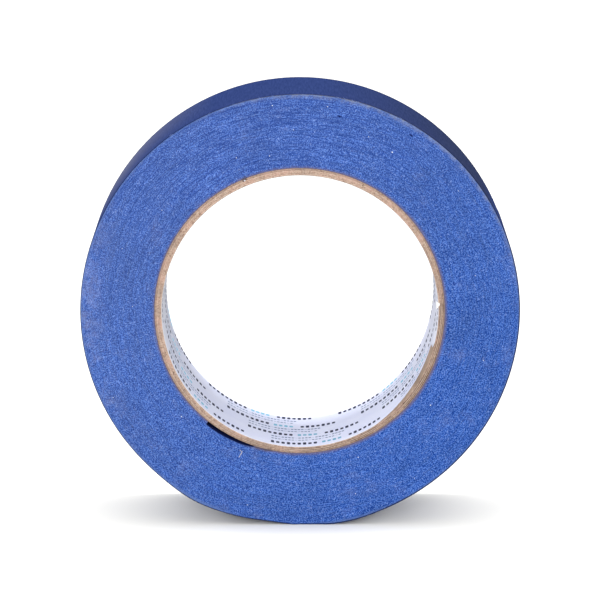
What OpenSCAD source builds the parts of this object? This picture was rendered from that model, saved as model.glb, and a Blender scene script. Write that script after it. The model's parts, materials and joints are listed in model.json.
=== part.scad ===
// A roll of crepe-paper masking tape on a spiral-wound board core, standing on its rim.
// The bore's axis is Y, the front face is at -Y and the origin is at the middle of the bore.
// Angles are measured round the bore from +X towards +Z, as seen from the front.

/* [Core] */
// Diameter of the bore, inside the printed liner
bore_d = 76.2; // [70:0.1:80]
// Thickness of the printed liner paper
liner_t = 0.12; // [0.1:0.01:0.2]
// Thickness of each of the four kraft board plies
ply_t = 0.45; // [0.3:0.01:0.6]

/* [Tape] */
// Width of the tape and length of the core
tape_w = 36; // [18:1:50]
// Diameter over the outermost turn
roll_d = 121.4; // [100:0.1:140]
// Thickness of the crepe paper backing
backing_t = 0.09; // [0.08:0.01:0.15]
// Thickness of the adhesive film
adhesive_t = 0.04; // [0.03:0.01:0.06]

/* [Resting flat] */
// Depth by which the rim is pressed flat where the roll stands on it
flat_depth = 0.3; // [0.3:0.1:1]

/* [Pocket beside the core] */
// Greatest gap between the core and the first turns of tape
pocket_depth = 1.1; // [0.5:0.05:2]
// Angle of the pocket's blunt end
pocket_start = 230.5; // [200:0.5:235]
// Angle of the pocket's thinner end
pocket_end = 251.5; // [245:0.5:260]

/* [Free end of the tape] */
// Angle of the line along which the free end peels away from the roll
peel_angle = 2; // [0:1:4]
// Length of the free end that peels away
free_end_l = 20; // [12:1:24]
// Clearance under the free end
seat_gap = 0.05; // [0.03:0.01:0.1]
// Clearance between the free end and the rest of the outermost turn
peel_gap = 0.05; // [0.03:0.01:0.2]

/* [Hidden] */
$fn = 180;

bore_r = bore_d / 2;
core_r = bore_r + liner_t + 4 * ply_t;
roll_r = roll_d / 2;
tape_t = backing_t + adhesive_t;
cut_l = 3 * roll_d;

// The pocket is deepest near its blunt end and slowly thins out towards the other
POCKET_STEP = 0.75;
POCKET_RISE = 0.05;
POCKET_TAIL = 0.3;
pocket_peak = POCKET_RISE / (POCKET_RISE + POCKET_TAIL);

// The free end covers this arc of the rim
free_start = peel_angle + degrees_on_rim(peel_gap);
free_stop = free_start + degrees_on_rim(free_end_l);

function degrees_on_rim(arc) = arc / roll_r * 180 / PI;

function on_circle(r, angle) = [r * cos(angle), r * sin(angle)];

function pocket_shape(u) = pow(u, POCKET_RISE) * pow(1 - u, POCKET_TAIL);

function pocket_gap(angle) =
    let (u = (angle - pocket_start) / (pocket_end - pocket_start))
    pocket_depth * pocket_shape(u) / pocket_shape(pocket_peak);

// Extrudes an outline drawn in the XZ plane over the width of the tape
module across_width(w = tape_w) {
    rotate([90, 0, 0])
        linear_extrude(height = w, center = true)
            children();
}

// A tube round the bore's axis
module tube(inner_r, wall) {
    across_width()
        difference() {
            circle(r = inner_r + wall);
            circle(r = inner_r);
        }
}

// Half of a disc, on the counterclockwise side of the line at the given angle
module half_disc(r, angle) {
    rotate(angle)
        intersection() {
            circle(r = r);
            translate([-2 * r, 0])
                square([4 * r, 2 * r]);
        }
}

// The winding's outline: two half discs, offset by half a tape thickness, leave one step at the peel line
module winding_outline() {
    half_disc(roll_r, peel_angle + 180);
    translate(on_circle(-tape_t / 2, peel_angle))
        half_disc(roll_r - tape_t / 2, peel_angle);
}

// The crescent gap where the first turns stand off the core
module pocket_outline() {
    outer = [for (a = [pocket_start:POCKET_STEP:pocket_end]) on_circle(core_r + pocket_gap(a), a)];
    inner = [on_circle(core_r - 1, pocket_end), on_circle(core_r - 1, pocket_start)];
    polygon(concat(outer, inner));
}

// A curved strip of the free end, between two radii
module free_end_strip(inner_r, thickness) {
    rotate([90, 0, 0])
        translate([0, 0, -tape_w / 2])
            rotate([0, 0, free_start])
                rotate_extrude(angle = free_stop - free_start)
                    translate([inner_r, 0])
                        square([thickness, tape_w]);
}

module core_liner() {
    color("ghostwhite")
        tube(bore_r, liner_t);
}

// One kraft board ply, counted outwards from the liner
module kraft_ply(index) {
    color("tan")
        tube(bore_r + liner_t + index * ply_t, ply_t);
}

module core_inner_ply() {
    kraft_ply(0);
}

module core_second_ply() {
    kraft_ply(1);
}

module core_third_ply() {
    kraft_ply(2);
}

module core_outer_ply() {
    kraft_ply(3);
}

// Every turn of the tape from the core out to the peel line
module wound_tape() {
    color("royalblue")
        difference() {
            across_width()
                winding_outline();
            across_width(tape_w + 2)
                circle(r = core_r);
            across_width(tape_w + 2)
                pocket_outline();
            translate([-cut_l / 2, -cut_l / 2, -roll_r - cut_l + flat_depth])
                cube(cut_l);
        }
}

module free_end_backing() {
    color("cornflowerblue")
        free_end_strip(roll_r + seat_gap - backing_t, backing_t);
}

module free_end_adhesive() {
    color("lavender")
        free_end_strip(roll_r + seat_gap - tape_t, adhesive_t);
}

core_liner();
core_inner_ply();
core_second_ply();
core_third_ply();
core_outer_ply();
wound_tape();
free_end_backing();
free_end_adhesive();
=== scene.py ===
import json
import math

import bmesh
import bpy
import numpy as np
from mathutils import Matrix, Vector


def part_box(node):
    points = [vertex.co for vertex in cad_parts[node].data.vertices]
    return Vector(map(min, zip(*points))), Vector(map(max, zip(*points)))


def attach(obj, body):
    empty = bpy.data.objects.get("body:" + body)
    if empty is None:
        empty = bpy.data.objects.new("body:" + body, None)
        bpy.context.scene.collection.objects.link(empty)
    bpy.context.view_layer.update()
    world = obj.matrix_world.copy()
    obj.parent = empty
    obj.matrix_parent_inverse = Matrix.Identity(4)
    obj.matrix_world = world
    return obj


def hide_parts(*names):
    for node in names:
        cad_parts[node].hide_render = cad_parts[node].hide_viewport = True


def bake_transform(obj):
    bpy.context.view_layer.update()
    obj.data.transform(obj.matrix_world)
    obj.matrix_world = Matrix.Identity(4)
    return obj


# A roll of blue crepe masking tape, standing on its rim on a white surface.
# Lengths are in millimetres until make_mesh() turns them into metres. Angles are in degrees round the
# bore from +X towards +Z, as seen from the front, and the front face is at -Y.

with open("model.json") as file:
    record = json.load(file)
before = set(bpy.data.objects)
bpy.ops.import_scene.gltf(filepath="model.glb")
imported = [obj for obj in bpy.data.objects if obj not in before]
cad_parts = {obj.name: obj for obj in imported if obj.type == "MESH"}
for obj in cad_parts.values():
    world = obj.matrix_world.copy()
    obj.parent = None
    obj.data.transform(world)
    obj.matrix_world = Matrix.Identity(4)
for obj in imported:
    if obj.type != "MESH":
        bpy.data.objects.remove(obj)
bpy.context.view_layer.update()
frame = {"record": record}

MM = 0.001


def outer_radius(node):
    """A round CAD node's outer radius."""
    return round(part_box(node)[1].x / MM, 2)


# ---- sizes from the frame

BORE_R = frame["record"]["mounts"][0]["dims"]["r_mm"]
LINER_R = outer_radius("core_liner")
PLIES = ("core_inner_ply", "core_second_ply", "core_third_ply", "core_outer_ply")
CORE_R = outer_radius(PLIES[-1])
PLY_T = (CORE_R - LINER_R) / len(PLIES)
HALF_W = round(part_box("wound_tape")[1].y / MM, 2)
ROLL_R = round(-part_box("wound_tape")[0].x / MM, 1)
FLOOR_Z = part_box("wound_tape")[0].z / MM

# ---- sizes of the tape and the core

TAPE_T = 0.13
BACKING_T = 0.09
GLUE_T = 0.036
SKIN = 0.004            # air between faces that touch, so that they don't coincide

# The strip is followed by one angle that keeps growing, turn after turn. It ends at the torn tip.
TURN = 360.0
TIP = 382.0
SEAM = 270.0            # under the roll, where the free end's own mesh takes over from the last turn's

# Where the roll is a little out of round: angle, half width and height of each swelling or dent
SWELLINGS = ((241.0, 8.0, 0.55), (262.0, 6.5, -0.55), (283.0, 8.0, 0.38))
CORE_WOBBLE = 0.16
CORE_WOBBLE_ANGLE = 140.0

# The crescent gap between the core and the first turns
POCKET_START = 230.5
POCKET_END = 251.5
POCKET_DEPTH = 1.1
POCKET_RISE = 0.05
POCKET_TAIL = 0.3

# The liner paper's helical seam, and the part of its edge that has torn off
LINER_SEAM = 303.0      # the seam's angle at the front edge
SEAM_RISE = 0.2354      # the seam's rise in mm for each degree
SEAM_GAP = 0.5          # in degrees
TEAR_STOP = -15.5

# ---- meshes


def on_circle(r, angle, y):
    """Points at radius r and depth y, at an angle. All three may be arrays."""
    a = np.radians(angle)
    return np.stack(np.broadcast_arrays(r * np.cos(a), y, r * np.sin(a)), -1)


def noise(u, v, seed, around=None):
    """Smooth random values from 0 to 1 that change over each whole step of u and v, and repeat around u."""
    size = 257
    table = np.random.default_rng(seed).random((around or size, size))
    u, v = np.broadcast_arrays(u, v)
    cu, cv = np.floor(u).astype(int), np.floor(v).astype(int)
    fu, fv = u - cu, v - cv
    fu, fv = fu * fu * (3 - 2 * fu), fv * fv * (3 - 2 * fv)

    def at(i, j):
        return table[(cu + i) % table.shape[0], (cv + j) % size]

    low = at(0, 0) * (1 - fu) + at(1, 0) * fu
    high = at(0, 1) * (1 - fu) + at(1, 1) * fu
    return low * (1 - fv) + high * fv


def ring_noise(angle, r, seed, count, step):
    """Noise that runs round the bore, count times in a turn, and changes every step of radius."""
    return noise(angle / TURN * count, r / step, seed, around=count)


def grid_faces(rows, cols, wrap=False):
    """The faces of a grid of points, joined up into a torus if wrap is true."""
    i, j = np.meshgrid(np.arange(rows - (not wrap)), np.arange(cols - (not wrap)), indexing="ij")
    i, j = i.ravel(), j.ravel()
    i2, j2 = (i + 1) % rows, (j + 1) % cols
    return np.stack([i * cols + j, i2 * cols + j, i2 * cols + j2, i * cols + j2], 1)


def slab_faces(rows, cols):
    """The faces of a closed sheet whose points are two grids, one after the other."""
    count = rows * cols
    top = grid_faces(rows, cols)
    index = np.arange(count).reshape(rows, cols)
    edge = np.concatenate([index[:-1, 0], index[-1, :-1], index[:0:-1, -1], index[0, :0:-1]])
    after = np.roll(edge, -1)
    side = np.stack([after, edge, edge + count, after + count], 1)
    return np.concatenate([top, top[:, ::-1] + count, side])


def make_mesh(name, points, faces, sharp=50.0):
    """A smooth-shaded closed object from points in millimetres."""
    points = np.asarray(points, float).reshape(-1, 3)
    mesh = bpy.data.meshes.new(name)
    mesh.from_pydata((points * MM).tolist(), [], [list(map(int, face)) for face in faces])
    shape = bmesh.new()
    shape.from_mesh(mesh)
    bmesh.ops.recalc_face_normals(shape, faces=shape.faces)
    shape.to_mesh(mesh)
    shape.free()
    mesh.shade_smooth()
    mesh.set_sharp_from_angle(angle=math.radians(sharp))
    made = bpy.data.objects.new(name, mesh)
    bpy.context.scene.collection.objects.link(made)
    return made


def slab(name, outer, inner):
    """A closed sheet between two grids of points."""
    return make_mesh(name, np.concatenate([outer.reshape(-1, 3), inner.reshape(-1, 3)]),
                     slab_faces(*outer.shape[:2]))


def slabs(name, pairs):
    """One object made of many closed sheets whose grids all have the same size."""
    rows, cols = pairs[0][0].shape[:2]
    faces = slab_faces(rows, cols)
    points = np.stack([np.stack(pair) for pair in pairs]).reshape(-1, 3)
    step = 2 * rows * cols
    return make_mesh(name, points, np.concatenate([faces + k * step for k in range(len(pairs))]))


def remember(obj, name, values):
    """Stores three numbers a point on a mesh, for its material."""
    stored = obj.data.attributes.new(name, "FLOAT_VECTOR", "POINT")
    stored.data.foreach_set("vector", np.asarray(values, np.float32).ravel())


def polar_coordinates(obj):
    """Stores each point's direction from the bore's axis and its radius, for patterns round the roll."""
    co = np.array([v.co for v in obj.data.vertices])
    r = np.hypot(co[:, 0], co[:, 2])
    remember(obj, "polar", np.stack([co[:, 0] / r, co[:, 2] / r, r / MM], 1))


def rounding(r, r_in, r_out, radius):
    """How far a face falls back towards its two edges, which are rounded."""
    t = np.clip(1 - np.minimum(r - r_in, r_out - r) / radius, 0, 1)
    return radius * (1 - np.sqrt(1 - t * t))


def ring(name, angles, r_in, r_out, front, back, shares, back_shares, wall_steps=5):
    """A closed ring round the bore. front and back give how far each face lies behind its nominal plane."""
    a = angles[:, None]
    r_in, r_out = r_in[:, None], r_out[:, None]
    front_r = r_in + (r_out - r_in) * shares
    back_r = r_in + (r_out - r_in) * back_shares[::-1]
    front_y = -HALF_W + front(a, front_r)
    back_y = HALF_W - back(a, back_r)
    down = np.linspace(0, 1, wall_steps + 1)[1:-1]
    rim_y = front_y[:, -1:] * (1 - down) + back_y[:, :1] * down
    bore_y = back_y[:, -1:] * (1 - down) + front_y[:, :1] * down
    loop = np.concatenate([
        on_circle(front_r, a, front_y),
        on_circle(r_out, a, rim_y),
        on_circle(back_r, a, back_y),
        on_circle(r_in, a, bore_y),
    ], axis=1)
    return make_mesh(name, loop, grid_faces(*loop.shape[:2], wrap=True), sharp=70.0)


def face_shares(steps, edge):
    """Where points lie across a ring's face, from 0 to 1, with a few more close to its two edges."""
    return np.concatenate([[0, edge / 3], np.linspace(edge, 1 - edge, steps), [1 - edge / 3, 1]])


def near(angle, middle, width):
    """A bump that is 1 at an angle and fades out on both sides of it."""
    return np.exp(-(((angle - middle + 180) % TURN - 180) / width) ** 2)


# ---- the roll's outline


def swelling(angle):
    """How far the roll's rim stands out of round."""
    return sum(height * near(angle, middle, width) for middle, width, height in SWELLINGS)


def turn_radius(along):
    """Radius of the tape's outer side, at an angle followed along the strip, before it is pressed flat."""
    return ROLL_R - TAPE_T * (TIP - along) / TURN + swelling(along)


def pressed_flat(r, angle, under):
    """Radius r, limited where the roll rests on its rim, for a surface with this much tape under it."""
    down = np.maximum(-np.sin(np.radians(angle)), 0.5)
    return np.minimum(r, (-FLOOR_Z - under) / down)


def core_wobble(angle):
    """How far the core's outside stands out of round."""
    return CORE_WOBBLE * np.cos(np.radians(angle - CORE_WOBBLE_ANGLE))


def pocket_gap(angle):
    """Width of the crescent gap beside the core."""
    u = np.clip((angle - POCKET_START) / (POCKET_END - POCKET_START), 0, 1)
    peak = POCKET_RISE / (POCKET_RISE + POCKET_TAIL)
    top = peak ** POCKET_RISE * (1 - peak) ** POCKET_TAIL
    return POCKET_DEPTH * u ** POCKET_RISE * (1 - u) ** POCKET_TAIL / top


# ---- the tape's winding

# Faint grooves that run round the front face, where a few turns lie back: first angle, last angle, radius
GROOVES = (
    (84, 128, 46.1), (92, 131, 49.3), (97, 140, 51.2), (60, 96, 48.0), (20, 58, 45.2),
    (100, 126, 54.6), (150, 190, 44.2), (170, 214, 50.6), (196, 232, 55.8), (205, 250, 47.4),
    (262, 300, 45.6), (280, 322, 52.4), (310, 352, 48.8), (338, 372, 56.2), (30, 62, 57.4),
    (128, 162, 57.0),
)
GROOVE_DEPTH = 0.2
GROOVE_W = 0.16
GROOVE_WANDER = 0.25    # how far a groove strays from its radius
# Short gaps between turns in the front face: angle, radius and depth
PITS = ((78.8, 55.5, 0.6), (58.3, 57.8, 0.6), (249.6, 45.9, 0.25), (277.9, 50.7, 0.2), (249.0, 54.6, 0.2),
        (118.0, 50.1, 0.25), (331.0, 43.5, 0.2))
PIT_HALF_L = 0.6
PIT_HALF_W = 0.15
# The winding's points: the step between their angles, the steps across a face, and the share of a face
# within which its outermost points lie
ANGLE_STEP = 0.75
POCKET_ANGLE_STEP = 0.3
NEXT_TO_SEAM = 0.01
SAME_ANGLE = 0.015
FRONT_STEPS = 104
BACK_STEPS = 38
EDGE_SHARE = 0.006
# How much the winding's front and back edges are rounded
FRONT_EDGE = 0.16
BACK_EDGE = 0.08


def winding_angles():
    """Angles round the winding, closer together at the pocket and the pits, and a pair at the seam."""
    angles = [
        np.arange(0, POCKET_START - 1, ANGLE_STEP),
        POCKET_START + np.array([-0.6, -0.2, 0, 0.1, 0.3]),
        np.arange(POCKET_START + 0.6, POCKET_END + 0.9, POCKET_ANGLE_STEP),
        np.arange(POCKET_END + 1.25, SEAM - 0.5, ANGLE_STEP),
        [SEAM - NEXT_TO_SEAM, SEAM + NEXT_TO_SEAM],
        np.arange(SEAM + ANGLE_STEP, TURN, ANGLE_STEP),
    ]
    angles += [at + np.array([-1.3, -1.0, -0.6, -0.2, 0.2, 0.6, 1.0, 1.3]) for at, _, _ in PITS]
    angles = np.sort(np.concatenate(angles))
    return angles[np.concatenate([[True], np.diff(angles) > SAME_ANGLE])]


def front_relief(angle, r):
    """How far the turns' cut edges lie behind the front plane."""
    depth = 0.05 * ring_noise(angle, r, 11, 14, 3.1)
    depth = depth + 0.05 * ring_noise(angle, r, 12, 40, 0.6)
    depth = depth + 0.04 * ring_noise(angle, r, 13, 300, 0.35)
    for first, last, radius in GROOVES:
        u = np.clip(((angle - first) % TURN) / (last - first), 0, 1)
        wander = GROOVE_WANDER * ring_noise(angle, r * 0 + radius, 14, 30, 1.0)
        broken = GROOVE_DEPTH * np.sin(np.pi * u) * ring_noise(angle, r * 0 + radius, 17, 90, 1.0)
        depth = depth + broken * np.exp(-((r - radius - wander) / GROOVE_W) ** 2)
    for at, radius, deep in PITS:
        gap = np.hypot(np.radians(angle - at) * radius / PIT_HALF_L, (r - radius) / PIT_HALF_W)
        depth = depth + deep * np.exp(-gap ** 2)
    return depth


def back_relief(angle, r):
    """How far the turns' cut edges lie behind the back plane."""
    return 0.06 * ring_noise(angle, r, 15, 14, 2.7) + 0.07 * ring_noise(angle, r, 16, 40, 0.8)


def make_winding():
    """Every turn of the tape but the last."""
    angles = winding_angles()
    r_in = CORE_R + core_wobble(angles) + SKIN + pocket_gap(angles)
    along = np.where(angles > SEAM, angles - TURN, angles)
    r_out = turn_radius(along) - TAPE_T - SKIN
    under = np.where((angles > SEAM) | (angles < TIP - TURN), 2 * TAPE_T, TAPE_T) + SKIN
    r_out = pressed_flat(r_out, angles, under)

    def front(a, r):
        return front_relief(a, r) + rounding(r, r_in[:, None], r_out[:, None], FRONT_EDGE)

    def back(a, r):
        return back_relief(a, r) + rounding(r, r_in[:, None], r_out[:, None], BACK_EDGE)

    made = ring("winding", angles, r_in, r_out, front, back,
                face_shares(FRONT_STEPS, EDGE_SHARE), face_shares(BACK_STEPS, EDGE_SHARE))
    polar_coordinates(made)
    return made


# ---- the last turn and the free end

CREPE_PITCH = 0.7
CREPE_DEPTH = 0.03
EDGE_ROUGHNESS = 0.05
# Where the free end bends away from the rim when it is peeled: angles along the strip
BEND = (361.5, 366.5)
# The steps between the strip's points along its length, in millimetres of arc
STRIP_STEP = 0.27
GLUE_STEP = 0.5
BEND_STEP = 0.09
# How far the strip's own edges, and the adhesive's, lie inside the roll's width
STRIP_MARGIN = 0.02
GLUE_MARGIN = 0.1
STRIP_COLUMNS = 24
GLUE_COLUMNS = 20
TEAR_L = 3.0            # degrees of the strip over which the tear at its tip shapes it


def crepe(along, y, seed):
    """The crepe's small ridges across the strip, as a depth below its outer side."""
    length = np.radians(along) * ROLL_R
    ridges = noise(length / CREPE_PITCH + 0.6 * noise(length / 9, y / 7, seed), y / 5.5, seed + 1)
    fine = noise(length / 0.5, y / 1.6, seed + 2)
    return CREPE_DEPTH * (1 - (0.75 * ridges + 0.25 * fine))


def strip(name, along, y, top, bottom, shape):
    """A closed curved sheet of tape. top and bottom give how far its two sides lie below the tape's outer
    side, and shape moves its points along and across the strip."""
    a, across = shape(*np.meshgrid(along, y, indexing="ij"))
    under = np.where(a < TIP - TURN, TAPE_T, 0.0)
    sides = [on_circle(pressed_flat(turn_radius(a) - depth, a, under + depth), a, across)
             for depth in (top(a, across), bottom(a, across))]
    made = slab(name, *sides)
    place = np.stack([np.radians(a) * ROLL_R, across, a * 0], -1).reshape(-1, 3)
    remember(made, "strip", np.concatenate([place, place + (0, 0, 1)]))
    return made


def strip_angles(first, last, step):
    """Angles along the strip, step millimetres of arc apart."""
    return np.linspace(first, last, int(math.radians(last - first) * ROLL_R / step) + 1)


def free_angles(first, last, step):
    """Angles along the free end's strip, closer together where it would bend away from the roll when peeled.
    """
    return np.concatenate([strip_angles(first, BEND[0], step), strip_angles(*BEND, BEND_STEP)[1:-1],
                           strip_angles(BEND[1], last, step)])


def strip_widths(margin, steps):
    """Places across the strip, with one more close to each edge."""
    edge = HALF_W - margin
    inside = np.linspace(-edge + 0.5, edge - 0.5, steps)
    return np.concatenate([[-edge, -edge + 0.12], inside, [edge - 0.12, edge]])


def rough_edge(a, across):
    """Makes a strip's two cut edges slightly uneven."""
    at_edge = np.clip(np.abs(across) - (HALF_W - 1), 0, 1)
    return a, across - np.sign(across) * at_edge * EDGE_ROUGHNESS * noise(a * 2.3, across * 0, 24)


def torn_tip(a, across):
    """Rough edges, and an uneven tear across the end of the strip."""
    a, across = rough_edge(a, across)
    share = np.clip((a - (TIP - TEAR_L)) / TEAR_L, 0, 1)
    tear = 0.55 * noise(across / 1.3, a * 0, 31) + 0.3 * noise(across / 0.45, a * 0, 32)
    return a - share * (tear + 0.25 * np.cos(across / 9)), across


def make_outer_turn():
    """The last turn of the strip, up to the seam under the roll. It also lies under the free end."""
    return strip("outer_turn", strip_angles(SEAM - TURN + STRIP_MARGIN, SEAM - STRIP_MARGIN, STRIP_STEP),
                 strip_widths(STRIP_MARGIN, STRIP_COLUMNS),
                 lambda a, y: crepe(a, y, 21), lambda a, y: TAPE_T - SKIN + a * 0, rough_edge)


def make_free_strip():
    """The backing of the strip's last piece, which ends in the torn tip."""
    return strip("free_strip", free_angles(SEAM + STRIP_MARGIN, TIP, STRIP_STEP),
                 strip_widths(STRIP_MARGIN, STRIP_COLUMNS),
                 lambda a, y: crepe(a, y, 26), lambda a, y: BACKING_T + a * 0, torn_tip)


def make_free_glue():
    """The adhesive film under the free strip."""
    top = BACKING_T + SKIN / 2

    def bottom(a, y):
        return top + GLUE_T - 0.006 * noise(np.radians(a) * ROLL_R / 0.9, y / 1.1, 27)

    return strip("free_strip_adhesive", free_angles(SEAM + 0.05, TIP - 0.15, GLUE_STEP),
                 strip_widths(GLUE_MARGIN, GLUE_COLUMNS), lambda a, y: top + a * 0, bottom, torn_tip)


# ---- the core

PLY_EDGE = 0.04         # how much the plies' edges are rounded
PLY_AIR = 0.008         # between two plies
PLY_STEP = 0.5          # in degrees
PLY_SHARES = (0, 0.06, 0.16, 0.33, 0.5, 0.67, 0.84, 0.94, 1)
# Where each ply's butt seam meets the front end: angle, and half width in degrees
PLY_SEAMS = ((318.0, 0.30), (206.0, 0.25), (64.0, 0.25), (112.0, 0.35))
PLY_SEAM_DEPTH = 0.5
# The plies have come slightly apart round this angle
SPLIT_ANGLE = 318.0
SPLIT_SPREAD = 42.0
SPLIT_W = 0.07
PLY_SETBACK = (0.02, 0.12, 0.0, 0.10)   # how far each ply's ends lie inside the tape's width


def make_ply(index):
    """One kraft board ply, with a fibrous cut end and the butt seam of its helical strip."""
    angles = np.arange(0, TURN, PLY_STEP)
    inside = LINER_R if index == 0 else outer_radius(PLIES[index - 1])
    split = SPLIT_W * near(angles, SPLIT_ANGLE, SPLIT_SPREAD)
    r_in = inside + index / len(PLIES) * core_wobble(angles) + PLY_AIR + (split if index else 0)
    r_out = outer_radius(PLIES[index]) + (index + 1) / len(PLIES) * core_wobble(angles) - PLY_AIR
    seam, half = PLY_SEAMS[index]

    def end(seed):
        def depth(a, r):
            fibres = 0.035 * ring_noise(a, r, seed, 119, 0.19) + 0.05 * ring_noise(a, r, seed + 1, 67, 0.37)
            notch = PLY_SEAM_DEPTH * near(a, seam, half)
            return PLY_SETBACK[index] + fibres + notch + rounding(r, r_in[:, None], r_out[:, None], PLY_EDGE)
        return depth

    shares = np.array(PLY_SHARES)
    made = ring("ply_%d" % (index + 1), angles, r_in, r_out, end(41 + 2 * index), end(51 + 2 * index),
                shares, shares, wall_steps=8)
    polar_coordinates(made)
    return made


LINER_ROWS = 73
LINER_COLUMNS = 361
LINER_AIR = 0.012       # between the liner and the board
# The torn edge stands off the board: the length over which it does, how far, and up to which depth
TORN_EDGE_L = 1.5
TORN_EDGE_LIFT = 0.18
TORN_EDGE_TO = -8.0


def liner_seam(y):
    """Angle of the liner's helical seam at depth y."""
    return LINER_SEAM + (y + HALF_W) / SEAM_RISE


def make_liner():
    """The printed paper inside the core: one sheet, from its helical seam round to the seam again."""
    v = np.linspace(0, 1, LINER_ROWS)[:, None]
    u = np.linspace(0, 1, LINER_COLUMNS)[None, :]
    y_flat = -HALF_W + 2 * HALF_W * v
    last = liner_seam(y_flat) - SEAM_GAP - 0.3 * noise(y_flat / 1.7, y_flat * 0, 61)
    tear = TEAR_STOP + 1.6 * noise(y_flat / 1.1, y_flat * 0, 62) - 0.2 * (y_flat + HALF_W)
    first = np.maximum(liner_seam(y_flat) - TURN + SEAM_GAP, tear)
    a = first + (last - first) * u
    front = -HALF_W - 0.05 + 0.16 * ring_noise(a, a * 0, 63, 240, 1.0)
    y = front + v * (HALF_W - front)
    torn = np.clip(1 - np.radians(a - first) * BORE_R / TORN_EDGE_L, 0, 1) * (y_flat < TORN_EDGE_TO)
    lift = TORN_EDGE_LIFT * torn ** 2 + 0.012 * ring_noise(a, y / 4, 64, 30, 1.0)
    inner = on_circle(BORE_R - lift, a, y)
    outer = on_circle(LINER_R - LINER_AIR - lift, a, y)
    made = slab("liner", inner, outer)
    polar_coordinates(made)
    return made


# ---- the liner's printed pattern

PRINT_REPEATS = 6
ROW_STEP = 10.3         # between the rows, in millimetres
ROW_SHIFT = -10.3       # and in degrees
FIRST_ROW_Y = -14.65
FIRST_ROW_ANGLE = 258.4
ROW_COUNT = 4
INK_T = 0.035
DEGREES = 180 / (math.pi * BORE_R)      # degrees of the bore for each millimetre of arc
# The slant of the first row, in millimetres for each millimetre of arc, and its change from row to row
FIRST_SLANT = 0.036
SLANT_STEP = -0.013
# Step between bars, width of a bar, and heights that repeat along a row
DARK_BARS = (1.5, 0.92, (2.6, 1.9, 2.2))
LATER_DARK_BARS = (1.5, 0.92, (1.9, 2.6, 2.2))
CYAN_BARS = (1.5, 1.0, (2.1, 1.8))
PALE_BARS = (0.95, 0.72, (0.75, 0.75, 0.75, 0.2))
PALER_BARS = (0.95, 0.72, (0.95, 0.95, 0.2, 0.95, 0.95))
# How far the two pale rows lie behind the row above them
PALE_ROW = 4.05
PALER_ROW = 6.7
# The print keeps this far from the liner's seam, its tear and its two ends
CLEAR_OF_SEAM = 1.2
CLEAR_OF_TEAR = 4
CLEAR_OF_END = 0.6


def bar(angle, y, w, h):
    """One printed bar with cut corners: the two grids of a thin closed patch on the liner."""
    v = np.array([-1, -0.72, 0, 0.72, 1])[:, None]
    half = np.array([0.6, 1, 1, 1, 0.6])[:, None] * w / 2
    a = angle + half * DEGREES * np.array([-1, 0, 1])[None, :]
    depth = y + v * h / 2 + a * 0
    return on_circle(BORE_R - INK_T, a, depth), on_circle(BORE_R + 0.02, a, depth)


def on_paper(angle, y):
    """True where the liner is whole, clear of its front and back edges, its seam and its tear."""
    a = (angle + 90) % TURN - 90
    over = y + HALF_W - (a - LINER_SEAM) * SEAM_RISE
    over_next = y + HALF_W - (a + TURN - LINER_SEAM) * SEAM_RISE
    past_tear = a > TEAR_STOP + CLEAR_OF_TEAR
    clear_of_next = over_next > CLEAR_OF_SEAM or (over_next < -CLEAR_OF_SEAM and past_tear)
    return over > CLEAR_OF_SEAM and clear_of_next and abs(y) < HALF_W - CLEAR_OF_END


def print_row(angle, y, slope, first, count, kind):
    """A row of bars of one kind, the first of them some steps after an angle."""
    step, w, heights = kind
    bars = []
    for k in range(count):
        a = angle + (first + k) * step * DEGREES
        depth = y + slope * (first + k) * step
        if on_paper(a, depth):
            bars.append(bar(a, depth, w, heights[k % len(heights)]))
    return bars


def make_print():
    """Rows of plain bars in dark blue and cyan, with two finer and paler rows under each."""
    dark, cyan, pale = [], [], []
    for row in range(ROW_COUNT):
        slope = FIRST_SLANT + SLANT_STEP * row
        for repeat in range(PRINT_REPEATS):
            a = FIRST_ROW_ANGLE + ROW_SHIFT * row + repeat * TURN / PRINT_REPEATS
            y = FIRST_ROW_Y + ROW_STEP * row
            dark += print_row(a, y, slope, 0, 9, DARK_BARS)
            cyan += print_row(a, y, slope, 9.6, 4, CYAN_BARS)
            dark += print_row(a, y, slope, 14.7, 7, LATER_DARK_BARS)
            pale += print_row(a, y + PALE_ROW, slope, 0, 21, PALE_BARS)
            pale += print_row(a, y + PALER_ROW, slope, 0, 22, PALER_BARS)
    return slabs("print_dark", dark), slabs("print_cyan", cyan), slabs("print_pale", pale)


# ---- loose bits

# White paper dust on the front face: angle, radius, size
DUST = (
    (100.8, 44.3, 0.3), (221.9, 44.2, 0.32), (291.5, 44.2, 0.3), (324.0, 44.7, 0.34), (286.7, 53.8, 0.26),
    (60.5, 51.2, 0.42), (82.5, 57.6, 0.3), (97.5, 57.9, 0.34), (69.0, 52.3, 0.26), (112.0, 46.4, 0.26),
    (12.0, 49.3, 0.24), (38.0, 55.0, 0.22), (178.0, 46.2, 0.22), (160.0, 52.0, 0.24), (345.0, 52.5, 0.26),
    (205.0, 57.1, 0.22), (255.0, 56.7, 0.24), (304.0, 57.0, 0.22), (92.0, 50.8, 0.24), (143.0, 47.4, 0.24),
    (112.4, 39.7, 0.5),
)
# Fibres below the pocket: radius, angle, heading, length, curl, thickness, seed
PALE_HAIRS = (
    (44.3, 247.7, 84, 1.9, 0.9, 0.10, 90),
    (42.6, 247.9, 190, 0.9, 1.2, 0.08, 92),
    (44.5, 247.3, 20, 0.6, 0.5, 0.07, 94),
)
FRINGE_ANGLES = (20, 165)
FRINGE_COUNT = 60
NICK_ANGLE = 111.2      # of the nick in the core's outside edge
FLAKE_ANGLE = 2.4


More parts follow.
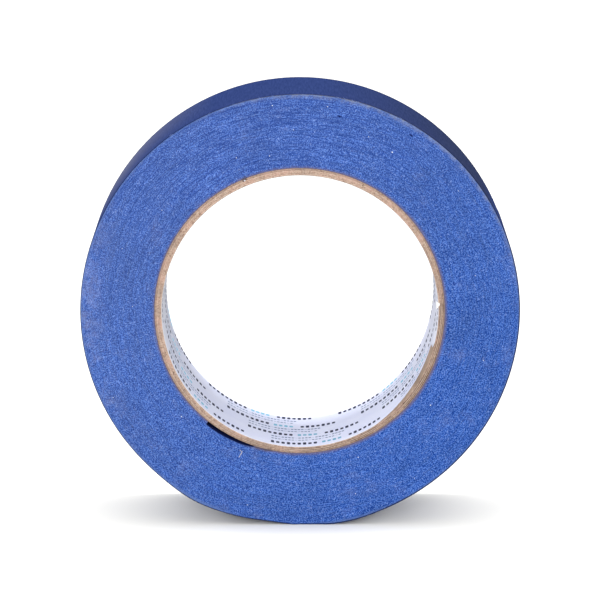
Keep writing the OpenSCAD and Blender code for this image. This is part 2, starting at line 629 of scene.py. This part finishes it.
def tube(path, radii, sides=6):
    """The points and faces of a thin closed tube along a path."""
    path = np.asarray(path, float)
    ahead = np.gradient(path, axis=0)
    ahead /= np.linalg.norm(ahead, axis=1)[:, None]
    side = np.cross(ahead, (0.13, 1.0, 0.21))
    side /= np.linalg.norm(side, axis=1)[:, None]
    up = np.cross(side, ahead)
    turn = np.linspace(0, 2 * math.pi, sides, endpoint=False)
    circle = np.cos(turn)[None, :, None] * side[:, None] + np.sin(turn)[None, :, None] * up[:, None]
    points = path[:, None] + circle * np.broadcast_to(radii, circle.shape[:2])[:, :, None]
    rows = len(path)
    i = np.arange(rows - 1)
    closing = np.stack([i * sides + sides - 1, (i + 1) * sides + sides - 1, (i + 1) * sides, i * sides], 1)
    faces = [list(f) for f in grid_faces(rows, sides)] + [list(f) for f in closing]
    faces += [list(range(sides)), list(range((rows - 1) * sides, rows * sides))]
    return points.reshape(-1, 3), faces


def blob(centre, size, seed):
    """The points and faces of a small uneven lump, a short fat tube whose radius rises and falls."""
    rows, sides = 7, 8
    t = np.linspace(-0.94, 0.94, rows)
    path = np.asarray(centre, float) + np.outer(t, (0.3, 0.1, 0.2)) * size
    rng = np.random.default_rng(seed)
    radii = size / 2 * np.sqrt(1 - t * t)[:, None] * rng.uniform(0.7, 1.2, (rows, sides))
    return tube(path, radii, sides)


def hair(start, heading, length, curl, radius, seed):
    """The points and faces of a curled paper fibre that lies close in front of a start point."""
    rng = np.random.default_rng(seed)
    steps = 9
    bend = curl * np.linspace(-1, 1, steps) + rng.normal(0, 0.12, steps)
    a = math.radians(heading) + np.cumsum(bend) / steps * 2
    step = length / (steps - 1)
    x = start[0] + np.concatenate([[0], np.cumsum(np.cos(a[:-1]) * step)])
    z = start[2] + np.concatenate([[0], np.cumsum(np.sin(a[:-1]) * step)])
    y = start[1] - 0.06 * np.sin(np.linspace(0, math.pi, steps))
    radii = radius * np.sin(np.linspace(0.35, math.pi - 0.35, steps))
    return tube(np.stack([x, y, z], 1), radii[:, None])


def joined(name, shapes):
    """One object made of many small closed shapes."""
    points, faces, count = [], [], 0
    for shape_points, shape_faces in shapes:
        points.append(shape_points)
        faces += [[i + count for i in face] for face in shape_faces]
        count += len(shape_points)
    return make_mesh(name, np.concatenate(points), faces)


def make_dust():
    """White paper dust that clings to the front face."""
    return joined("paper_dust", [blob(on_circle(r, a, -HALF_W + 0.02), size, 70 + k)
                                 for k, (a, r, size) in enumerate(DUST)])


def make_fibres():
    """Pale curled fibres across the first turns below the pocket."""
    return joined("pale_fibres", [hair(on_circle(r, a, -HALF_W), *form) for r, a, *form in PALE_HAIRS])


def make_fringe():
    """Short fibres that stand up along the rim's front edge."""
    shapes = []
    rng = np.random.default_rng(91)
    for a in rng.uniform(*FRINGE_ANGLES, FRINGE_COUNT):
        r = turn_radius(a) - rng.uniform(0.05, 0.7)
        heading = a + 90 + rng.normal(0, 14)
        shapes.append(hair(on_circle(r, a, -HALF_W + 0.02), heading, rng.uniform(0.5, 1.4),
                           rng.normal(0, 0.3), rng.uniform(0.02, 0.045), int(a * 100)))
    return joined("rim_fringe", shapes)


def make_core_fray():
    """Dark fibres at the core's outside edge, where the pocket thins out and at a nick near the top."""
    rng = np.random.default_rng(93)
    shapes = []
    for k in range(14):
        a = rng.uniform(251, 257)
        start = on_circle(CORE_R + rng.uniform(0, 0.3), a, -HALF_W - 0.02)
        shapes.append(hair(start, a + 90 + rng.normal(0, 20), rng.uniform(0.6, 1.8), rng.normal(0, 0.4),
                           0.05, 200 + k))
    for k in range(5):
        a = NICK_ANGLE + 0.4 * k
        start = on_circle(CORE_R - 0.15 * k, a, -HALF_W - 0.03)
        shapes.append(hair(start, a + 35, 1.1, 0.3, 0.07, 220 + k))
    return joined("dark_fibres", shapes)


def make_liner_flake():
    """A torn bit of the liner that is folded out over the core's end."""
    v = np.linspace(0, 1, 9)[:, None]
    u = np.linspace(-1, 1, 9)[None, :]
    a = FLAKE_ANGLE + u * (1.7 - 1.3 * v) + 0.8 * v + 0.3 * noise(v * 6, u * 3 + 5, 95)
    r = BORE_R - 0.5 + v * 0.9 + 0 * u
    y = -HALF_W - 0.12 + 1.6 * (1 - v) ** 2 + 0.05 * noise(u * 2 + 4, v * 3, 96)
    return slab("liner_flake", on_circle(r, a, y), on_circle(r + 0.03, a, y + 0.08))


# ---- materials


def add(kind, inputs=None, tree=None, **settings):
    """A shader node with its settings, and its inputs as values or links. It joins the links' node tree."""
    inputs = inputs or {}
    for value in inputs.values():
        if isinstance(value, bpy.types.NodeSocket):
            tree = value.id_data
    made = tree.nodes.new("ShaderNode" + kind)
    for name, value in settings.items():
        setattr(made, name, value)
    for name, value in inputs.items():
        if isinstance(value, bpy.types.NodeSocket):
            tree.links.new(value, made.inputs[name])
        else:
            made.inputs[name].default_value = value
    return made


def new_material(name, roughness, specular=0.5):
    """A Principled material: the material, its node tree and its shader."""
    mat = bpy.data.materials.new(name)
    mat.use_nodes = True
    shader = mat.node_tree.nodes["Principled BSDF"]
    shader.inputs["Roughness"].default_value = roughness
    shader.inputs["Specular IOR Level"].default_value = specular
    return mat, mat.node_tree, shader


def mix(share, a, b, how="MIX"):
    """Mixes two colours, each a link or three numbers."""
    a, b = ((*colour, 1.0) if isinstance(colour, tuple) else colour for colour in (a, b))
    return add("Mix", {0: share, 6: a, 7: b}, data_type="RGBA", blend_type=how).outputs[2]


def layer(colour, share, over):
    """A colour with a share of another over it."""
    return mix(share, colour, over)


def layers(colour, *steps):
    """A colour with others over it: for each a value, where it starts and is full, a share and a colour."""
    for value, start, full, share, over in steps:
        colour = layer(colour, ramp(value, start, full, 0.0, share), over)
    return colour


def shaded(colour, shade):
    """A colour made darker or lighter by a factor."""
    tint = add("CombineColor", {0: shade, 1: shade, 2: shade}).outputs[0]
    return mix(1.0, colour, tint, "MULTIPLY")


def math_node(operation, a, b=0.0):
    """A sum of two values, or another operation on them."""
    return add("Math", {0: a, 1: b}, operation=operation).outputs[0]


def product(value, *others):
    """Values multiplied together."""
    for other in others:
        value = math_node("MULTIPLY", value, other)
    return value


def distance_to(value, target):
    """How far a value lies from a target, on either side."""
    return math_node("ABSOLUTE", math_node("SUBTRACT", value, target))


def attribute(tree, name):
    """A vector stored on the mesh."""
    return add("Attribute", tree=tree, attribute_name=name).outputs["Vector"]


def component(vector, index):
    """One of a vector's three numbers."""
    return add("SeparateXYZ", {0: vector}).outputs[index]


def scaled(vector, by):
    """A vector times another, component by component."""
    return add("VectorMath", {0: vector, 1: by}, operation="MULTIPLY").outputs["Vector"]


def grain(vector, scale, detail=2.0, rough=0.5):
    """Noise from 0 to 1, at one scale or at one for each component of the vector."""
    if isinstance(scale, tuple):
        vector, scale = scaled(vector, scale), 1.0
    inputs = {"Vector": vector, "Scale": scale, "Detail": detail, "Roughness": rough}
    return add("TexNoise", inputs).outputs[0]


def ramp(value, low, high, to_low=0.0, to_high=1.0):
    """Maps a range of values to another, and clamps it."""
    inputs = {"Value": value, "From Min": low, "From Max": high, "To Min": to_low, "To Max": to_high}
    return add("MapRange", inputs).outputs[0]


def surface(shader, colour, height, depth, strength):
    """Gives a shader its colour, and a relief depth millimetres deep."""
    relief = add("Bump", {"Height": height, "Distance": depth * MM, "Strength": strength})
    colour.id_data.links.new(colour, shader.inputs["Base Color"])
    colour.id_data.links.new(relief.outputs[0], shader.inputs["Normal"])


def towards(polar, angle, low, high):
    """A value that goes from low to high round the roll, and is highest at an angle."""
    a = math.radians(angle)
    there = (math.cos(a), math.sin(a), 0.0)
    facing = add("VectorMath", {0: polar, 1: there}, operation="DOT_PRODUCT")
    return ramp(facing.outputs["Value"], -1.0, 1.0, low, high)


def in_millimetres(tree):
    """The point's place in millimetres."""
    return scaled(add("TexCoord", tree=tree).outputs["Object"], (1 / MM,) * 3)


# ---- the winding's material

CUT_DARK = (0.000, 0.025, 0.172)
CUT_LIGHT = (0.053, 0.125, 0.388)
CUT_PALE_SPECKS = (0.24, 0.34, 0.65)
CUT_DARK_SPECKS = (0.002, 0.010, 0.08)
CUT_DUST_AND_SHEEN = (0.30, 0.31, 0.42)
CUT_LINES = (0.008, 0.032, 0.17)
CUT_NEAR_CORE = (0.095, 0.08, 0.12)
CUT_AT_CORE = (0.11, 0.085, 0.12)
CUT_WORN = (0.27, 0.28, 0.40)
CUT_AT_RIM = (0.075, 0.125, 0.30)
CUT_FRAYED = (0.16, 0.185, 0.27)
CUT_SHADE_IN_RECESSES = (0.003, 0.010, 0.10)
# Angles round which the cut edges get the most painted light (there and opposite), the most painted sheen,
# and the most lines, wear and fraying
PAINTED_LIGHT_ANGLE = 280.0
SHEEN_ANGLE = 140.0
LINED_ANGLE = 104.0
WORN_ANGLE = 187.0
FRAYED_ANGLE = 62.0


def cut_paper(place, fine):
    """The grain of the cut paper, with pale and dark specks."""
    specks = grain(place, 2.6, 2.0, 0.6)
    colour = mix(ramp(fine, 0.42, 0.60), CUT_DARK, CUT_LIGHT)
    return layers(colour, (specks, 0.60, 0.72, 0.5, CUT_PALE_SPECKS),
                  (specks, 0.38, 0.28, 0.7, CUT_DARK_SPECKS))


def cut_shade(place, polar, turns):
    """How light the cut edges are: it varies from turn to turn, in patches and round the roll, where painted
    light makes them lighter towards the top and the bottom.
    """
    streaks = grain(polar, (3.5, 3.5, 1.1), 3.0, 0.6)
    patches = grain(place, 0.07, 3.0, 0.6)
    # Painted light: the cut edges are made lighter towards the top and the bottom of the roll.
    painted_light_upright = math_node("ABSOLUTE", towards(polar, PAINTED_LIGHT_ANGLE, -1.0, 1.0))
    return product(ramp(turns, 0.28, 0.72, 0.81, 1.17),
                   ramp(streaks, 0.3, 0.7, 0.93, 1.06),
                   ramp(patches, 0.35, 0.65, 0.94, 1.05),
                   ramp(painted_light_upright, 0.45, 1.0, 1.0, 1.09))


def cut_dust_and_sheen(colour, place, polar):
    """Pale dust in soft patches, and a painted sheen that grows towards the upper left."""
    dust_and_sheen = ramp(grain(place, 0.11, 4.0, 0.7), 0.56, 0.74, 0.0, 0.10)
    # Painted sheen, strongest towards the upper left of the face.
    dust_and_sheen = math_node("ADD", dust_and_sheen, towards(polar, SHEEN_ANGLE, 0.0, 0.065))
    return layer(colour, dust_and_sheen, CUT_DUST_AND_SHEEN)


def cut_lines(colour, polar):
    """Thin dark lines that follow the turns."""
    middle = distance_to(grain(polar, (4.0, 4.0, 1.7), 2.0, 0.6), 0.5)
    lines = ramp(middle, 0.045, 0.0)
    return layer(colour, product(lines, towards(polar, LINED_ANGLE, -1.1, 0.95)), CUT_LINES)


def cut_at_core(colour, place, radius):
    """The first turns: dull, and ragged where they touch the core."""
    start = CORE_R + 0.1
    ragged = ramp(grain(place, 0.5, 3.0, 0.7), 0.35, 0.65, 0.12, 0.8)
    reach = math_node("ADD", start, ragged)
    return layers(colour, (radius, CORE_R + 1.0, start, 0.5, CUT_NEAR_CORE),
                  (radius, reach, start, 0.55, CUT_AT_CORE))


def cut_at_rim(colour, place, polar, radius):
    """The last turns: worn in patches, with a dull edge that is frayed near the top."""
    worn = product(ramp(radius, ROLL_R - 8.0, ROLL_R - 1.5, 0.0, 0.25),
                   ramp(grain(place, 0.25, 4.0, 0.7), 0.45, 0.65),
                   towards(polar, WORN_ANGLE, -7.0, 1.0))
    colour = layer(colour, worn, CUT_WORN)
    colour = layers(colour, (radius, ROLL_R - 0.8, ROLL_R - 0.15, 0.75, CUT_AT_RIM))
    frayed = product(ramp(radius, ROLL_R - 1.6, ROLL_R - 0.4, 0.0, 0.8),
                     ramp(grain(place, 0.45, 3.0, 0.7), 0.40, 0.60, 0.1, 1.0),
                     towards(polar, FRAYED_ANGLE, -3.2, 1.1))
    return layer(colour, frayed, CUT_FRAYED)


def cut_edges():
    """The winding's cut edges: fine blue paper grain with streaks that follow the turns."""
    mat, tree, shader = new_material("cut_crepe_edges", 0.9, 0.15)
    place = in_millimetres(tree)
    polar = attribute(tree, "polar")
    radius = component(polar, 2)
    fine = grain(place, 3.3, 1.0, 0.5)
    turns = grain(polar, (10.0, 10.0, 2.9), 2.0, 0.6)
    colour = shaded(cut_paper(place, fine), cut_shade(place, polar, turns))
    colour = cut_dust_and_sheen(colour, place, polar)
    colour = cut_lines(colour, polar)
    colour = cut_at_core(colour, place, radius)
    colour = cut_at_rim(colour, place, polar, radius)
    # Painted shade: the cut edges are darkened where they lie deep behind the front and back planes, in the
    # pocket and the pits.
    across = math_node("ABSOLUTE", component(place, 1))
    depth = math_node("SUBTRACT", HALF_W, across)
    colour = layers(colour, (depth, 0.14, 0.45, 0.93, CUT_SHADE_IN_RECESSES))
    surface(shader, colour, math_node("ADD", fine, turns), 0.12, 0.7)
    return mat


# ---- the strip's materials

CREPE_DARK = (0.0115, 0.0245, 0.090)
CREPE_LIGHT = (0.0235, 0.042, 0.138)
CREPE_FIBRES = (0.060, 0.08, 0.23)
CREPE_CLOUD = (0.020, 0.034, 0.13)
CREPE_MARGIN = (0.008, 0.020, 0.092)
CREPE_EDGE = (0.010, 0.016, 0.06)
CREPE_WORN_EDGE = (0.20, 0.20, 0.25)
CREPE_PAINTED_SHADE = (0.98, 0.78, 0.56)     # a factor of painted shade, not a colour of its own
CREPE_DUST_AND_SHEEN = (0.27, 0.265, 0.28)
GLUE_DARK = (0.075, 0.13, 0.36)
GLUE_LIGHT = (0.125, 0.195, 0.46)
GLUE_BUBBLES = (0.22, 0.30, 0.54)


def arc(angle):
    """Length along the strip up to an angle."""
    return math.radians(angle) * ROLL_R


# Where the rim has painted shade, where it has dust and a painted sheen, and where its edges are worn pale:
# no share at the first angle, all of it at the middle one or two, and none at the last
RIM_PAINTED_SHADE = (21, 33, 44, 84)
DUST_AND_SHEEN_SPAN = (113, 143, 143, 180)
WORN_EDGE = (44, 95, 95, 118)


def along_strip(length, where):
    """A value that rises from 0 to 1 and falls back to 0 along the strip."""
    start, full, last_full, end = (arc(angle) for angle in where)
    return product(ramp(length, start, full), ramp(length, end, last_full))


def crepe_paper(strip_place, ridges, fibres):
    """The colour of the crepe: dark between the ridges, with paler fibres."""
    cloud = grain(strip_place, (0.05, 0.05, 0.0), 2.0, 0.5)
    colour = mix(ramp(ridges, 0.3, 0.7), CREPE_DARK, CREPE_LIGHT)
    return layers(colour, (fibres, 0.35, 0.75, 0.35, CREPE_FIBRES),
                  (cloud, 0.3, 0.7, 0.25, CREPE_CLOUD))


def crepe_edges(colour, strip_place, length, across):
    """The strip's two edges: a darker margin, and a cut edge that is dark or worn pale."""
    away = math_node("ABSOLUTE", across)
    colour = layers(colour, (away, HALF_W - 2.4, HALF_W - 0.3, 0.55, CREPE_MARGIN))
    edge = ramp(away, HALF_W - 0.12, HALF_W - 0.04)
    colour = layer(colour, edge, CREPE_EDGE)
    patchy = grain(strip_place, (0.045, 0.0, 0.0), 2.0)
    worn = product(ramp(patchy, 0.40, 0.60, 0.1, 0.7), along_strip(length, WORN_EDGE))
    return layer(colour, product(edge, worn), CREPE_WORN_EDGE)


def crepe_backing():
    """The tape's outer side: satin blue crepe paper with ridges across the strip."""
    mat, tree, shader = new_material("crepe_backing", 0.8, 0.0)
    strip_place = attribute(tree, "strip")
    length, across = component(strip_place, 0), component(strip_place, 1)
    ridges = grain(strip_place, (1 / 0.45, 0.16, 0.0), 2.0, 0.5)
    fibres = grain(strip_place, (3.0, 1.6, 0.0), 3.0, 0.6)
    colour = crepe_paper(strip_place, ridges, fibres)
    colour = crepe_edges(colour, strip_place, length, across)
    # Painted shade: the rim is made darker and less blue on its right side.
    colour = mix(along_strip(length, RIM_PAINTED_SHADE), colour, CREPE_PAINTED_SHADE, "MULTIPLY")
    # Dust and a painted sheen on the rim's upper left, stronger towards its back edge.
    rim_dust_and_sheen = product(along_strip(length, DUST_AND_SHEEN_SPAN), ramp(across, -HALF_W, HALF_W, 0.02, 0.30))
    colour = layer(colour, rim_dust_and_sheen, CREPE_DUST_AND_SHEEN)
    tree.links.new(ramp(fibres, 0.3, 0.7, 0.66, 0.84), shader.inputs["Roughness"])
    height = math_node("ADD", ridges, product(fibres, 0.5))
    surface(shader, colour, height, 0.05, 0.7)
    return mat


def adhesive():
    """The tape's sticky side: a glossy film with the blue paper showing through."""
    mat, tree, shader = new_material("adhesive_film", 0.22, 0.5)
    strip_place = attribute(tree, "strip")
    ridges = grain(strip_place, (1.6, 0.2, 0.0), 2.0, 0.5)
    bubbles = grain(strip_place, (1.2, 1.2, 0.0), 4.0, 0.7)
    colour = mix(ramp(ridges, 0.3, 0.7), GLUE_DARK, GLUE_LIGHT)
    colour = layers(colour, (bubbles, 0.55, 0.75, 0.4, GLUE_BUBBLES))
    tree.links.new(ramp(bubbles, 0.3, 0.7, 0.16, 0.34), shader.inputs["Roughness"])
    surface(shader, colour, math_node("ADD", ridges, bubbles), 0.03, 0.6)
    return mat


# ---- the core's materials

KRAFT_DARK = (0.29, 0.185, 0.13)
KRAFT_LIGHT = (0.475, 0.34, 0.272)
KRAFT_PALE_SPECKS = (0.55, 0.44, 0.36)
KRAFT_DARK_SPECKS = (0.150, 0.090, 0.066)
KRAFT_PALE_PATCHES = (0.53, 0.34, 0.28)
KRAFT_DARK_PATCHES = (0.27, 0.205, 0.17)
KRAFT_GLUE = (0.075, 0.045, 0.036)
KRAFT_STREAK = (0.58, 0.44, 0.34)
KRAFT_BORE_PAINTED_LIGHT = (0.62, 0.45, 0.33)
KRAFT_OUTERMOST = (0.12, 0.078, 0.07)
PLY_TINTS = (1.0, 0.93, 1.04, 0.95)
LINES_ANGLE = 320.0             # the glue lines between the plies show most round this angle
LINE_HALF_W = (0.2, 0.05)       # where a line starts, and where it is full
LIGHT_STREAK_R = 38.95
LIGHT_BOARD_ANGLE = 100.0
PAPER_PAINTED_LIGHT_ANGLE = 281.0

PAPER_BLUE = (0.63, 0.665, 0.88)
PAPER_WHITE = (0.70, 0.73, 0.90)
PAPER_FIBRES = (0.63, 0.64, 0.76)
PAPER_EDGE = (0.52, 0.49, 0.49)


def board(place, tint, fibres, specks):
    """Brown board with fibres, specks and patches, made darker or lighter by a tint."""
    patches = grain(place, 0.30, 3.0, 0.6)
    dark, light = (tuple(tint * c for c in colour) for colour in (KRAFT_DARK, KRAFT_LIGHT))
    colour = mix(ramp(fibres, 0.3, 0.7), dark, light)
    return layers(colour, (specks, 0.45, 0.68, 0.8, KRAFT_PALE_SPECKS),
                  (specks, 0.46, 0.30, 0.85, KRAFT_DARK_SPECKS),
                  (patches, 0.50, 0.66, 0.55, KRAFT_PALE_PATCHES),
                  (patches, 0.48, 0.32, 0.45, KRAFT_DARK_PATCHES))


def glue_lines(colour, polar, radius, index):
    """Dark lines of glue at a ply's two sides, and a light streak, seen here and there."""
    seen = ramp(grain(polar, (7.0, 7.0, 0.5), 3.0, 0.6), 0.35, 0.60)
    seen = product(seen, towards(polar, LINES_ANGLE, -1.0, 1.0))
    for line in (LINER_R + (index + 1) * PLY_T, LINER_R + index * PLY_T):
        glue = ramp(distance_to(radius, line), *LINE_HALF_W)
        colour = layer(colour, product(seen, glue), KRAFT_GLUE)
    streak = ramp(distance_to(radius, LIGHT_STREAK_R), *LINE_HALF_W)
    return layer(colour, product(streak, product(seen, 0.8)), KRAFT_STREAK)


def kraft(index):
    """Kraft board: brown fibres at the cut end and along the ply, a little different in each ply."""
    mat, tree, shader = new_material("kraft_board_%d" % (index + 1), 0.9, 0.25)
    place = in_millimetres(tree)
    polar = attribute(tree, "polar")
    radius = component(polar, 2)
    fibres = grain(polar, (60.0, 60.0, 4.5), 3.0, 0.65)
    specks = grain(place, 2.2, 3.0, 0.7)
    colour = board(place, PLY_TINTS[index], fibres, specks)
    colour = glue_lines(colour, polar, radius, index)
    # Painted light: the board's wall in the bore is made lighter, where little light reaches it.
    colour = layers(colour, (radius, LINER_R + 0.06, LINER_R + 0.02, 0.5, KRAFT_BORE_PAINTED_LIGHT),
                    (radius, CORE_R - 0.7, CORE_R - 0.05, 0.42, KRAFT_OUTERMOST))
    colour = shaded(colour, towards(polar, LIGHT_BOARD_ANGLE, 0.81, 0.88))
    surface(shader, colour, math_node("ADD", fibres, specks), 0.1, 0.8)
    return mat


def liner_paper():
    """Coated white paper with a faint blue cast, painted light and shade, and a duller cut edge at the front.
    """
    mat, tree, shader = new_material("liner_paper", 0.45, 0.45)
    place = in_millimetres(tree)
    cloud = grain(place, 0.12, 3.0, 0.6)
    fibres = grain(place, 1.8, 3.0, 0.6)
    colour = mix(ramp(cloud, 0.3, 0.7), PAPER_BLUE, PAPER_WHITE)
    colour = layers(colour, (fibres, 0.4, 0.7, 0.2, PAPER_FIBRES))
    depth = component(place, 1)
    # Painted light and shade: the paper is made darker away from the bottom of the bore, and lighter towards
    # its front edge.
    shade = product(towards(attribute(tree, "polar"), PAPER_PAINTED_LIGHT_ANGLE, 0.0, 1.03),
                    ramp(depth, -HALF_W, 0.4 * HALF_W, 1.16, 0.93))
    colour = shaded(colour, shade)
    colour = layers(colour, (depth, -HALF_W + 0.35, -HALF_W + 0.05, 0.7, PAPER_EDGE))
    surface(shader, colour, fibres, 0.02, 0.5)
    return mat


# ---- inks and loose fibres

# Each ink's colour, and its colour where it is thin
INKS = {
    "ink_dark": ((0.006, 0.009, 0.045), (0.035, 0.045, 0.13)),
    "ink_cyan": ((0.17, 0.44, 0.60), (0.36, 0.57, 0.70)),
    "ink_pale": ((0.17, 0.23, 0.36), (0.32, 0.39, 0.52)),
}
# The two colours of each kind of fluff
TORN_PAPER = ((0.88, 0.88, 0.88), (0.80, 0.79, 0.78))
WHITE_DUST = ((0.80, 0.82, 0.86), (0.55, 0.60, 0.72))
PALE_FLUFF = ((0.50, 0.48, 0.50), (0.34, 0.35, 0.46))
BLUE_FLUFF = ((0.20, 0.28, 0.56), (0.12, 0.18, 0.42))
DARK_FLUFF = ((0.05, 0.045, 0.07), (0.10, 0.08, 0.10))


def ink(name, colour, faint):
    """Printing ink that lets a little of the paper through."""
    mat, tree, shader = new_material(name, 0.6, 0.1)
    specks = grain(in_millimetres(tree), 3.0, 2.0, 0.6)
    thin = ramp(specks, 0.45, 0.75, 0.0, 0.3)
    tree.links.new(mix(thin, colour, faint), shader.inputs["Base Color"])
    return mat


def fluff(name, colour, shade):
    """Loose paper fibres and dust."""
    mat, tree, shader = new_material(name, 0.95, 0.2)
    lumps = grain(in_millimetres(tree), 5.0, 2.0, 0.6)
    surface(shader, mix(lumps, colour, shade), lumps, 0.05, 0.5)
    return mat


# ---- the model


def dress(piece, body, mat, slot, *nodes):
    """Gives a piece its material, hides the CAD nodes it stands for, and lets it ride on a body. The slot is
    not used.
    """
    piece.data.materials.append(mat)
    if nodes:
        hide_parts(*nodes)
    if body:
        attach(piece, body)
    return piece


def follow_the_peel(piece):
    """Bakes a strip's transform into its mesh."""
    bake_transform(piece)


def make_roll():
    """The whole roll, piece by piece."""
    backing = crepe_backing()
    dress(make_winding(), "roll", cut_edges(), "crepe_tape", "wound_tape")
    dress(make_outer_turn(), "roll", backing, "crepe_backing")
    follow_the_peel(dress(make_free_strip(), None, backing, "crepe_backing", "free_end_backing"))
    follow_the_peel(dress(make_free_glue(), None, adhesive(), "adhesive", "free_end_adhesive"))
    for index, node in enumerate(PLIES):
        dress(make_ply(index), "roll", kraft(index), "kraft_board", node)
    paper = liner_paper()
    dress(make_liner(), "roll", paper, "liner_paper", "core_liner")
    dress(make_liner_flake(), "roll", fluff("torn_paper", *TORN_PAPER), "liner_paper")
    for piece, (name, colours) in zip(make_print(), INKS.items()):
        dress(piece, "roll", ink(name, *colours), "liner_paper")
    dress(make_dust(), "roll", fluff("paper_dust", *WHITE_DUST), "crepe_tape")
    dress(make_fibres(), "roll", fluff("pale_fluff", *PALE_FLUFF), "crepe_tape")
    dress(make_fringe(), "roll", fluff("blue_fluff", *BLUE_FLUFF), "crepe_tape")
    dress(make_core_fray(), "roll", fluff("dark_fluff", *DARK_FLUFF), "crepe_tape")


# ---- floor, light and camera

# From here on lengths are in metres, apart from the camera's
FLOOR_HALF = 1.6
FLOOR_COLOUR = (0.87, 0.865, 0.835)
WORLD_STRENGTH = 1.0
# Each light's name, place, width, depth and power
LIGHTS = (
    ("overhead", (0.0, 0.13, 1.6), 3.0, 0.3, 20.0),
    ("right", (1.9, 0.50, 0.9), 1.2, 1.2, 14.0),
    ("left", (-1.9, 0.50, 0.9), 1.2, 1.2, 12.0),
    ("front", (-0.2, -2.0, 0.5), 1.6, 0.8, 28.0),
)


def make_floor():
    """A wide white surface under the roll."""
    z = FLOOR_Z * MM
    corners = [(-FLOOR_HALF, -FLOOR_HALF, z), (FLOOR_HALF, -FLOOR_HALF, z),
               (FLOOR_HALF, FLOOR_HALF, z), (-FLOOR_HALF, FLOOR_HALF, z)]
    mesh = bpy.data.meshes.new("floor")
    mesh.from_pydata(corners, [], [(0, 1, 2, 3)])
    floor = bpy.data.objects.new("floor", mesh)
    bpy.context.scene.collection.objects.link(floor)
    mat, _, shader = new_material("white_floor", 0.9, 0.1)
    shader.inputs["Base Color"].default_value = (*FLOOR_COLOUR, 1.0)
    mesh.materials.append(mat)


def make_light(name, location, width, depth, power):
    """A soft rectangular light that points at the roll."""
    data = bpy.data.lights.new(name, "AREA")
    data.shape = "RECTANGLE"
    data.size = width
    data.size_y = depth
    data.energy = power
    light = bpy.data.objects.new(name, data)
    light.location = location
    light.rotation_euler = (-Vector(location)).to_track_quat("-Z", "Y").to_euler()
    bpy.context.scene.collection.objects.link(light)


def make_world(strength):
    """An even white surrounding light."""
    world = bpy.data.worlds.new("studio")
    world.use_nodes = True
    world.node_tree.nodes["Background"].inputs["Color"].default_value = (1.0, 1.0, 1.0, 1.0)
    world.node_tree.nodes["Background"].inputs["Strength"].default_value = strength
    bpy.context.scene.world = world


# The camera's target and distance in millimetres, its elevation in degrees and its lens
CAMERA_TARGET = (0.0, 0.0, -0.10)
CAMERA_DISTANCE = 983.0
CAMERA_ELEVATION = 11.09
CAMERA_LENS = 210.1


def make_camera():
    """The camera, a little above the roll and looking along +Y."""
    data = bpy.data.cameras.new("camera")
    data.lens = CAMERA_LENS
    camera = bpy.data.objects.new("camera", data)
    e = math.radians(CAMERA_ELEVATION)
    back = Vector((0.0, -math.cos(e), math.sin(e)))
    camera.location = (Vector(CAMERA_TARGET) + back * CAMERA_DISTANCE) * MM
    camera.rotation_euler = (-back).to_track_quat("-Z", "Y").to_euler()
    bpy.context.scene.collection.objects.link(camera)
    bpy.context.scene.camera = camera


make_camera()
make_floor()
make_world(WORLD_STRENGTH)
for light_values in LIGHTS:
    make_light(*light_values)
bpy.context.scene.view_settings.view_transform = "Standard"
make_roll()
